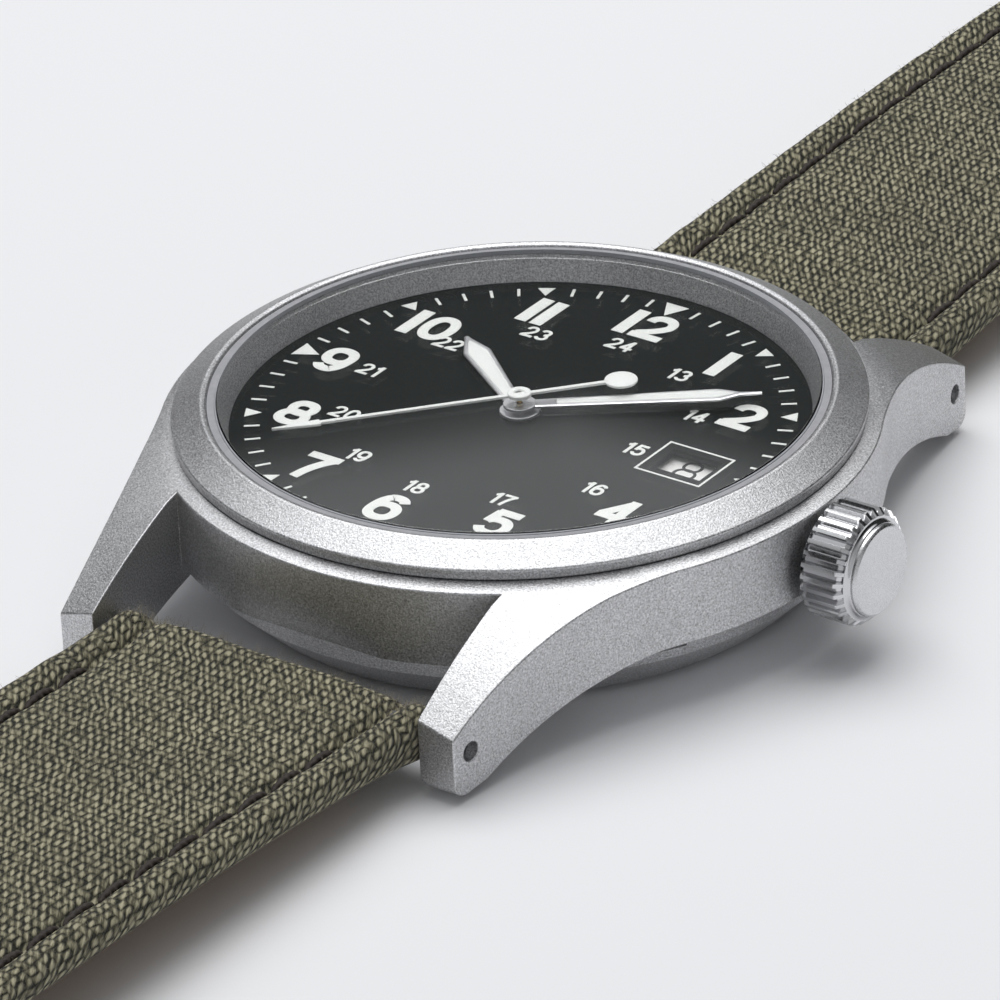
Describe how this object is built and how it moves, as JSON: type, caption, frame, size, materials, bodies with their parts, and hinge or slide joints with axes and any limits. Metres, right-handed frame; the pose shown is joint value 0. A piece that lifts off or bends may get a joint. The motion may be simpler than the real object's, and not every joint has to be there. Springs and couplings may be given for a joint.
{
  "type": "field watch",
  "caption": "Hand-wound field watch: round steel case with drilled lugs, flat crystal over the hands and date window, fluted crown and an open canvas strap with pin buckle.",
  "frame": {"origin": "centre of the flat of the case back, which lies on the table", "axes": "+Z out of the dial, +Y to the 12, +X to the crown"},
  "size_m": [0.0404, 0.2447, 0.0096],
  "materials": {
    "blasted_steel": "bead-blasted satin",
    "polished_steel": "polished",
    "crystal": "clear",
    "gasket": "matt",
    "dial_black": "matt",
    "ring_plastic": "matt",
    "plate_brass": "plated satin",
    "wheel_brass": "satin",
    "jewel": "polished",
    "date_white": "matt",
    "hand_white": "matt",
    "strap_canvas": "woven canvas",
    "strap_lining": "smooth leather"
  },
  "bodies": {
    "case": {"case_middle": "blasted_steel", "bezel": "blasted_steel", "crystal": "crystal", "crystal_gasket": "gasket", "flange_ring": "blasted_steel", "dial": "dial_black", "case_back": "blasted_steel", "case_back_gasket": "gasket", "crown_tube": "polished_steel", "movement_ring": "ring_plastic", "main_plate": "plate_brass", "barrel_bridge": "plate_brass", "train_bridge": "plate_brass", "balance_cock": "plate_brass", "pallet_bridge": "plate_brass", "jewels": "jewel", "bridge_screws": "polished_steel", "casing_clamps": "polished_steel", "hairspring": "polished_steel", "spring_bar_12": "polished_steel", "spring_bar_6": "polished_steel"},
    "centre_train": {"centre_wheel": "wheel_brass", "cannon_pinion": "polished_steel", "minute_hand": "hand_white"},
    "hour_train": {"hour_wheel": "wheel_brass", "hour_hand": "hand_white"},
    "minute_wheel": {"minute_wheel": "wheel_brass"},
    "third_wheel": {"third_wheel": "wheel_brass"},
    "seconds_train": {"fourth_wheel": "wheel_brass", "second_hand": "hand_white"},
    "escape_wheel": {"escape_wheel": "polished_steel"},
    "barrel": {"barrel": "wheel_brass", "mainspring": "polished_steel"},
    "date_disc": {"date_disc": "date_white"},
    "balance_wheel": {"balance_wheel": "wheel_brass"},
    "pallet_fork": {"pallet_fork": "polished_steel"},
    "crown_slider": {"crown_gasket": "gasket"},
    "crown": {"crown": "blasted_steel", "winding_stem": "polished_steel"},
    "sliding_pinion": {"sliding_pinion": "polished_steel"},
    "winding_pinion": {"winding_pinion": "polished_steel"},
    "crown_wheel": {"crown_wheel": "polished_steel"},
    "ratchet": {"ratchet_wheel": "polished_steel", "barrel_arbor": "polished_steel"},
    "setting_lever": {"setting_lever": "polished_steel"},
    "yoke": {"yoke": "polished_steel"},
    "click": {"click": "polished_steel"},
    "strap_12": {"strap_12_canvas": "strap_canvas", "strap_12_lining": "strap_lining", "fixed_keeper": "strap_lining"},
    "strap_6": {"strap_6_canvas": "strap_canvas", "strap_6_lining": "strap_lining"},
    "buckle_frame": {"buckle_frame": "blasted_steel", "buckle_pin": "polished_steel"},
    "buckle_tongue": {"buckle_tongue": "blasted_steel"},
    "free_keeper": {"free_keeper": "strap_lining"},
    "bar_tip_12_left": {"bar_tip_12_left": "polished_steel"},
    "bar_tip_12_right": {"bar_tip_12_right": "polished_steel"},
    "bar_tip_6_left": {"bar_tip_6_left": "polished_steel"},
    "bar_tip_6_right": {"bar_tip_6_right": "polished_steel"}
  },
  "joints": [
    {"name": "minute_turn", "type": "hinge", "parent": "case", "child": "centre_train", "pos_m": [0, 0, 0.0078], "axis": [0, 0, -1], "continuous": true},
    {"name": "hour_turn", "type": "hinge", "parent": "case", "child": "hour_train", "pos_m": [0, 0, 0.0074], "axis": [0, 0, -1], "continuous": true},
    {"name": "minute_wheel_turn", "type": "hinge", "parent": "case", "child": "minute_wheel", "pos_m": [-0.00226, 0.00082, 0.006], "axis": [0, 0, -1], "continuous": true},
    {"name": "third_turn", "type": "hinge", "parent": "case", "child": "third_wheel", "pos_m": [-0.00295, -0.00206, 0.004], "axis": [0, 0, -1], "continuous": true},
    {"name": "second_turn", "type": "hinge", "parent": "case", "child": "seconds_train", "pos_m": [0, 0, 0.0083], "axis": [0, 0, -1], "continuous": true},
    {"name": "escape_turn", "type": "hinge", "parent": "case", "child": "escape_wheel", "pos_m": [0.00031, -0.0035, 0.004], "axis": [0, 0, -1], "continuous": true},
    {"name": "barrel_turn", "type": "hinge", "parent": "case", "child": "barrel", "pos_m": [0.00307, 0.00533, 0.0045], "axis": [0, 0, -1], "continuous": true},
    {"name": "date_turn", "type": "hinge", "parent": "case", "child": "date_disc", "pos_m": [0, 0, 0.0065], "axis": [0, 0, -1], "continuous": true},
    {"name": "balance_swing", "type": "hinge", "parent": "case", "child": "balance_wheel", "pos_m": [0.004, -0.00693, 0.0035], "axis": [0, 0, 1], "range_deg": [-200, 200], "stiffness_Nm_per_rad": 0.0000003},
    {"name": "pallet_rock", "type": "hinge", "parent": "case", "child": "pallet_fork", "pos_m": [0.00195, -0.00502, 0.0042], "axis": [0, 0, 1], "range_deg": [-3.5, 3.5]},
    {"name": "crown_pull", "type": "slide", "parent": "case", "child": "crown_slider", "axis": [1, 0, 0], "range_m": [0, 0.0011]},
    {"name": "crown_turn", "type": "hinge", "parent": "crown_slider", "child": "crown", "pos_m": [0, 0, 0.0051], "axis": [1, 0, 0], "continuous": true},
    {"name": "sliding_pinion_shift", "type": "slide", "parent": "crown", "child": "sliding_pinion", "axis": [1, 0, 0], "range_m": [-0.00188, 0]},
    {"name": "winding_pinion_turn", "type": "hinge", "parent": "case", "child": "winding_pinion", "pos_m": [0, 0, 0.0051], "axis": [1, 0, 0], "continuous": true},
    {"name": "crown_wheel_turn", "type": "hinge", "parent": "case", "child": "crown_wheel", "pos_m": [0.0082, 0, 0.003], "axis": [0, 0, 1], "continuous": true},
    {"name": "ratchet_turn", "type": "hinge", "parent": "case", "child": "ratchet", "pos_m": [0.00307, 0.00533, 0.003], "axis": [0, 0, 1], "continuous": true},
    {"name": "setting_lever_swing", "type": "hinge", "parent": "case", "child": "setting_lever", "pos_m": [0.01175, -0.0022, 0.00595], "axis": [0, 0, 1], "range_deg": [-31, 0]},
    {"name": "yoke_swing", "type": "hinge", "parent": "case", "child": "yoke", "pos_m": [0.008, -0.0035, 0.0051], "axis": [0, 0, 1], "range_deg": [0, 18]},
    {"name": "click_swing", "type": "hinge", "parent": "case", "child": "click", "pos_m": [0.00229, 0.01118, 0.003], "axis": [0, 0, 1], "range_deg": [0, 4]},
    {"name": "strap_12_swing", "type": "hinge", "parent": "case", "child": "strap_12", "pos_m": [0, 0.02151, 0.00262], "axis": [1, 0, 0], "range_deg": [-75, 60]},
    {"name": "strap_6_swing", "type": "hinge", "parent": "case", "child": "strap_6", "pos_m": [0, -0.02151, 0.00262], "axis": [-1, 0, 0], "range_deg": [-75, 60]},
    {"name": "buckle_swing", "type": "hinge", "parent": "strap_12", "child": "buckle_frame", "pos_m": [0, 0.09651, 0.0015], "axis": [1, 0, 0], "range_deg": [-80, 50]},
    {"name": "tongue_swing", "type": "hinge", "parent": "buckle_frame", "child": "buckle_tongue", "pos_m": [0, 0.09651, 0.0015], "axis": [1, 0, 0], "range_deg": [0, 75]},
    {"name": "keeper_slide", "type": "slide", "parent": "strap_12", "child": "free_keeper", "axis": [0, 0.996, -0.0892], "range_m": [-0.0065, 0.0053]},
    {"name": "tip_12_left_press", "type": "slide", "parent": "case", "child": "bar_tip_12_left", "axis": [1, 0, 0], "range_m": [0, 0.0016], "stiffness_N_per_m": 800},
    {"name": "tip_12_right_press", "type": "slide", "parent": "case", "child": "bar_tip_12_right", "axis": [-1, 0, 0], "range_m": [0, 0.0016], "stiffness_N_per_m": 800},
    {"name": "tip_6_left_press", "type": "slide", "parent": "case", "child": "bar_tip_6_left", "axis": [1, 0, 0], "range_m": [0, 0.0016], "stiffness_N_per_m": 800},
    {"name": "tip_6_right_press", "type": "slide", "parent": "case", "child": "bar_tip_6_right", "axis": [-1, 0, 0], "range_m": [0, 0.0016], "stiffness_N_per_m": 800}
  ],
  "couplings": [
    {"joint": "hour_turn", "follows": "minute_turn", "ratio": 0.083333},
    {"joint": "minute_wheel_turn", "follows": "minute_turn", "ratio": -0.33333},
    {"joint": "third_turn", "follows": "minute_turn", "ratio": -8},
    {"joint": "second_turn", "follows": "minute_turn", "ratio": 60},
    {"joint": "escape_turn", "follows": "minute_turn", "ratio": -540},
    {"joint": "barrel_turn", "follows": "minute_turn", "ratio": -0.16667},
    {"joint": "winding_pinion_turn", "follows": "crown_turn", "ratio": 1},
    {"joint": "crown_wheel_turn", "follows": "crown_turn", "ratio": 0.5},
    {"joint": "ratchet_turn", "follows": "crown_turn", "ratio": -0.33333},
    {"joint": "sliding_pinion_shift", "follows": "crown_pull", "ratio": -1.7},
    {"joint": "setting_lever_swing", "follows": "crown_pull", "rad_per_m": -476},
    {"joint": "yoke_swing", "follows": "crown_pull", "rad_per_m": 270}
  ]
}
